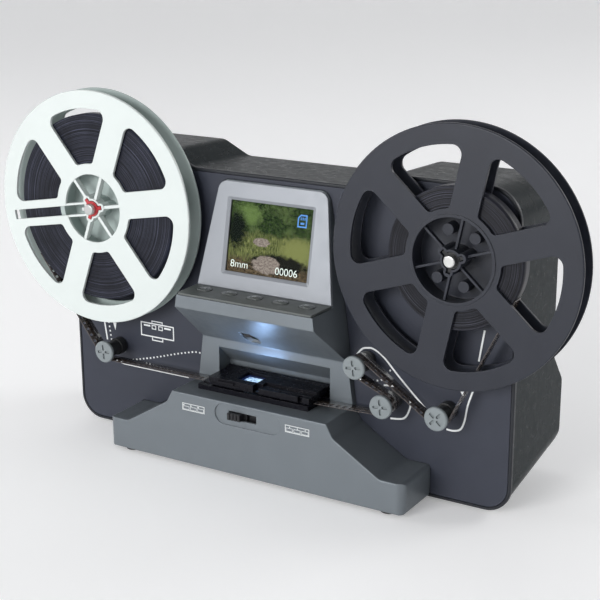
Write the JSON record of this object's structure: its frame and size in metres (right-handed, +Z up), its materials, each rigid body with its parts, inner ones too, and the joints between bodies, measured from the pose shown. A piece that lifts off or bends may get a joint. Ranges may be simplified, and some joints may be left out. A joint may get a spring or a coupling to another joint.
{
  "type": "film scanner",
  "caption": "Desktop film scanner with two reels on a dark panel, guide rollers, a hinged film gate on a silver base and a leaning display with keys.",
  "frame": {"origin": "on the table under the middle of the machine", "axes": "+X to the viewer's right, +Y from the keys and display towards the back, +Z up"},
  "size_m": [0.3396, 0.0994, 0.1935],
  "materials": {
    "silver_paint": "metallic silver-grey paint",
    "charcoal": "satin charcoal, printed with white threading lines",
    "dark_shell": "glossy dark shell",
    "pale_bezel": "pale grey satin",
    "dark_deck": "satin dark grey",
    "key_plastic": "glossy dark keys",
    "rubber_black": "matt black rubber",
    "clear_cover": "clear cover",
    "screen": "lit picture",
    "steel": "bright zinc plate",
    "sheet_steel": "pressed steel sheet",
    "motor_can": "plated steel can",
    "bronze": "sintered bronze",
    "board": "green circuit board",
    "acetal": "natural acetal",
    "black_plastic": "black moulded plastic",
    "cap_grey": "light grey plastic",
    "reel_white": "off-white moulding",
    "reel_dark": "dark grey textured moulding",
    "latch_red": "red plastic",
    "film": "dark developed film",
    "film_wound": "wound film edges",
    "lens": "coated glass",
    "diffuser": "milky lit window",
    "card": "dark blue card"
  },
  "bodies": {
    "housing": {"front_frame": "dark_shell", "front_plate": "charcoal", "rear_cover": "dark_shell", "screws": "steel", "base_housing": "silver_paint", "base_bottom": "black_plastic", "rubber_feet": "rubber_black", "format_switch": "black_plastic", "display_column": "silver_paint", "display_bezel": "pale_bezel", "screen_window": "clear_cover", "screen_panel": "screen", "button_deck": "dark_deck", "key_board": "board", "camera_module": "black_plastic", "camera_lens": "lens", "gate_bed": "black_plastic", "light_diffuser": "diffuser", "light_board": "board", "feed_bracket": "sheet_steel", "motors": "motor_can", "motor_brackets": "sheet_steel", "spindle_bushes": "bronze", "steel_pins": "steel", "roller_caps": "cap_grey", "film_strip": "film", "main_board": "board", "jack_board": "board", "card_socket": "sheet_steel", "usb_socket": "sheet_steel", "dc_socket": "black_plastic"},
    "supply_reel": {"supply_reel_front": "reel_white", "supply_reel_rear": "reel_white", "supply_film_pack": "film_wound", "supply_spindle": "steel", "supply_latch": "latch_red", "supply_gear": "acetal"},
    "takeup_reel": {"takeup_reel_front": "reel_dark", "takeup_reel_rear": "reel_dark", "takeup_film_pack": "film_wound", "takeup_spindle": "steel", "takeup_latch": "black_plastic", "takeup_gear": "acetal"},
    "supply_pinion": {"supply_pinion": "steel"},
    "takeup_pinion": {"takeup_pinion": "steel"},
    "feed_cam": {"feed_cam": "acetal"},
    "feed_pinion": {"feed_pinion": "steel"},
    "feed_claw": {"feed_claw": "acetal"},
    "gate_door": {"gate_door": "black_plastic"},
    "format_knob": {"format_knob": "black_plastic"},
    "memory_card": {"memory_card": "card"},
    "roller_1": {"roller_1": "black_plastic"},
    "roller_2": {"roller_2": "black_plastic"},
    "roller_3": {"roller_3": "black_plastic"},
    "roller_4": {"roller_4": "black_plastic"},
    "key_1": {"key_1": "key_plastic"},
    "key_2": {"key_2": "key_plastic"},
    "key_3": {"key_3": "key_plastic"},
    "key_4": {"key_4": "key_plastic"},
    "key_5": {"key_5": "key_plastic"}
  },
  "joints": [
    {"name": "supply_spin", "type": "hinge", "parent": "housing", "child": "supply_reel", "pos_m": [-0.1063, -0.0185, 0.13], "axis": [0, 1, 0], "continuous": true},
    {"name": "takeup_spin", "type": "hinge", "parent": "housing", "child": "takeup_reel", "pos_m": [0.1063, -0.0185, 0.13], "axis": [0, 1, 0], "continuous": true},
    {"name": "supply_pinion_spin", "type": "hinge", "parent": "housing", "child": "supply_pinion", "pos_m": [-0.0823, -0.0185, 0.13], "axis": [0, 1, 0], "continuous": true},
    {"name": "takeup_pinion_spin", "type": "hinge", "parent": "housing", "child": "takeup_pinion", "pos_m": [0.0823, -0.0185, 0.13], "axis": [0, 1, 0], "continuous": true},
    {"name": "feed_cam_spin", "type": "hinge", "parent": "housing", "child": "feed_cam", "pos_m": [0.017, -0.0185, 0.0195], "axis": [0, 1, 0], "continuous": true},
    {"name": "feed_pinion_spin", "type": "hinge", "parent": "housing", "child": "feed_pinion", "pos_m": [0.029, -0.0185, 0.0195], "axis": [0, 1, 0], "continuous": true},
    {"name": "claw_slide", "type": "slide", "parent": "housing", "child": "feed_claw", "axis": [1, 0, 0], "range_m": [-0.0021, 0.0021]},
    {"name": "roller_1_spin", "type": "hinge", "parent": "housing", "child": "roller_1", "pos_m": [-0.103, -0.0185, 0.0493], "axis": [0, 1, 0], "continuous": true},
    {"name": "roller_2_spin", "type": "hinge", "parent": "housing", "child": "roller_2", "pos_m": [0.0546, -0.0185, 0.0681], "axis": [0, 1, 0], "continuous": true},
    {"name": "roller_3_spin", "type": "hinge", "parent": "housing", "child": "roller_3", "pos_m": [0.0699, -0.0185, 0.0504], "axis": [0, 1, 0], "continuous": true},
    {"name": "roller_4_spin", "type": "hinge", "parent": "housing", "child": "roller_4", "pos_m": [0.0999, -0.0185, 0.0503], "axis": [0, 1, 0], "continuous": true},
    {"name": "gate_hinge", "type": "hinge", "parent": "housing", "child": "gate_door", "pos_m": [0, -0.0145, 0.0475], "axis": [-1, 0, 0], "range_deg": [0, 45]},
    {"name": "format_slide", "type": "slide", "parent": "housing", "child": "format_knob", "axis": [1, 0, 0], "range_m": [0, 0.008]},
    {"name": "key_1_press", "type": "slide", "parent": "housing", "child": "key_1", "axis": [0, 0, -1], "range_m": [0, 0.001], "stiffness_N_per_m": 300, "springref_m": -0.0005},
    {"name": "key_2_press", "type": "slide", "parent": "housing", "child": "key_2", "axis": [0, 0, -1], "range_m": [0, 0.001], "stiffness_N_per_m": 300, "springref_m": -0.0005},
    {"name": "key_3_press", "type": "slide", "parent": "housing", "child": "key_3", "axis": [0, 0, -1], "range_m": [0, 0.001], "stiffness_N_per_m": 300, "springref_m": -0.0005},
    {"name": "key_4_press", "type": "slide", "parent": "housing", "child": "key_4", "axis": [0, 0, -1], "range_m": [0, 0.001], "stiffness_N_per_m": 300, "springref_m": -0.0005},
    {"name": "key_5_press", "type": "slide", "parent": "housing", "child": "key_5", "axis": [0, 0, -1], "range_m": [0, 0.001], "stiffness_N_per_m": 300, "springref_m": -0.0005},
    {"name": "card_slide", "type": "slide", "parent": "housing", "child": "memory_card", "axis": [0, 1, 0], "range_m": [0, 0.024]}
  ],
  "couplings": [
    {"joint": "supply_pinion_spin", "follows": "supply_spin", "ratio": -4},
    {"joint": "takeup_pinion_spin", "follows": "takeup_spin", "ratio": -4},
    {"joint": "feed_pinion_spin", "follows": "feed_cam_spin", "ratio": -3}
  ]
}
